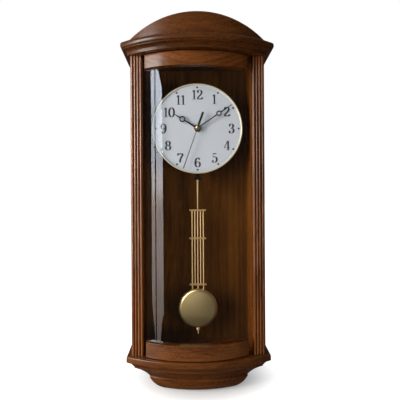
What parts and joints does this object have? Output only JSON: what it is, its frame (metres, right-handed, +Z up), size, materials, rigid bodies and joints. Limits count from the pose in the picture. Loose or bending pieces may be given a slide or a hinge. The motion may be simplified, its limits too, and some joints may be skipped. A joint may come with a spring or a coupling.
{
  "type": "wall clock",
  "caption": "Walnut wall clock with a bowed glass door, reeded columns, a round white dial and a brass gridiron pendulum, set by radio signal.",
  "frame": {"origin": "centre of the hanging hole, in the plane of the wall", "axes": "+Z up, -Y out of the wall towards the viewer, +X to the right from the front"},
  "size_m": [0.272, 0.152, 0.6698],
  "materials": {
    "walnut_wood": "satin lacquer",
    "dark_wood": "matt stain",
    "walnut_veneer": "satin lacquer, vertical grain",
    "brass": "brushed, lacquered",
    "bezel_gold": "polished",
    "steel": "zinc plated",
    "black_plastic": "moulded",
    "light_plastic": "moulded",
    "dial_white": "satin print",
    "hand_black": "satin",
    "clear_glass": "clear, bent",
    "cell_wrap": "printed foil",
    "circuit_green": "solder mask",
    "copper_wire": "enamelled",
    "ferrite": "sintered",
    "magnet_grey": "nickel plated"
  },
  "bodies": {
    "case": {"backboard": "walnut_veneer", "left_side": "walnut_wood", "right_side": "walnut_wood", "left_column": "walnut_wood", "right_column": "walnut_wood", "top_board": "dark_wood", "cornice": "walnut_wood", "crown_face": "walnut_wood", "crown_roof": "walnut_wood", "crown_back": "dark_wood", "base_plate": "walnut_wood", "base_cove": "walnut_wood", "base_slope": "walnut_wood", "base_foot": "walnut_wood", "hanger_plate": "steel", "wood_screws": "steel", "pivot_bushes": "brass", "catch_body": "black_plastic", "catch_magnet": "magnet_grey", "mount_cheeks": "dark_wood", "dial_board": "dark_wood", "dial_plate": "dial_white", "dial_bezel": "bezel_gold", "movement_case": "black_plastic", "movement_back": "black_plastic", "centre_bush": "brass", "dial_nut": "brass", "batteries": "cell_wrap", "battery_contacts": "steel", "circuit_board": "circuit_green", "motor_coils": "copper_wire", "ferrite_rod": "ferrite", "antenna_winding": "copper_wire", "pendulum_coil": "copper_wire", "pivot_pin": "steel"},
    "door": {"door_top_rail": "walnut_wood", "door_bottom_rail": "walnut_wood", "door_glass": "clear_glass", "glass_beads": "walnut_wood", "door_pins": "steel", "strike_plate": "steel"},
    "minute": {"minute_hand": "hand_black", "minute_arbor": "brass"},
    "hour": {"hour_hand": "hand_black", "hour_wheel": "brass"},
    "second": {"second_hand": "hand_black", "second_arbor": "steel", "second_cap": "brass"},
    "motion": {"motion_wheel": "brass"},
    "signal_key": {"signal_button": "light_plastic"},
    "reset_key": {"reset_button": "light_plastic"},
    "pendulum": {"pendulum_arm": "black_plastic", "pendulum_magnet": "magnet_grey", "pendulum_stem": "brass", "pendulum_bars": "brass", "pendulum_rods": "brass", "bob_shell": "brass", "bob_core": "dark_wood", "rating_nut": "brass"}
  },
  "joints": [
    {"name": "door_swing", "type": "hinge", "parent": "case", "child": "door", "pos_m": [0.0805, -0.09924, -0.2], "axis": [0, 0, 1], "range_deg": [0, 100]},
    {"name": "minute_turn", "type": "hinge", "parent": "case", "child": "minute", "pos_m": [0, -0.06, -0.0835], "axis": [0, 1, 0], "continuous": true},
    {"name": "motion_turn", "type": "hinge", "parent": "case", "child": "motion", "pos_m": [0.01, -0.06, -0.0835], "axis": [0, 1, 0], "continuous": true},
    {"name": "hour_turn", "type": "hinge", "parent": "case", "child": "hour", "pos_m": [0, -0.06, -0.0835], "axis": [0, 1, 0], "continuous": true},
    {"name": "second_turn", "type": "hinge", "parent": "case", "child": "second", "pos_m": [0, -0.06, -0.0835], "axis": [0, 1, 0], "continuous": true},
    {"name": "pendulum_swing", "type": "hinge", "parent": "case", "child": "pendulum", "pos_m": [0, -0.044, -0.1235], "axis": [0, 1, 0], "range_deg": [-5, 5]},
    {"name": "signal_press", "type": "slide", "parent": "case", "child": "signal_key", "axis": [0, -1, 0], "range_m": [0, 0.001], "stiffness_N_per_m": 200},
    {"name": "reset_press", "type": "slide", "parent": "case", "child": "reset_key", "axis": [0, -1, 0], "range_m": [0, 0.001], "stiffness_N_per_m": 200}
  ],
  "couplings": [
    {"joint": "motion_turn", "follows": "minute_turn", "ratio": -0.33333},
    {"joint": "hour_turn", "follows": "minute_turn", "ratio": 0.083333}
  ]
}
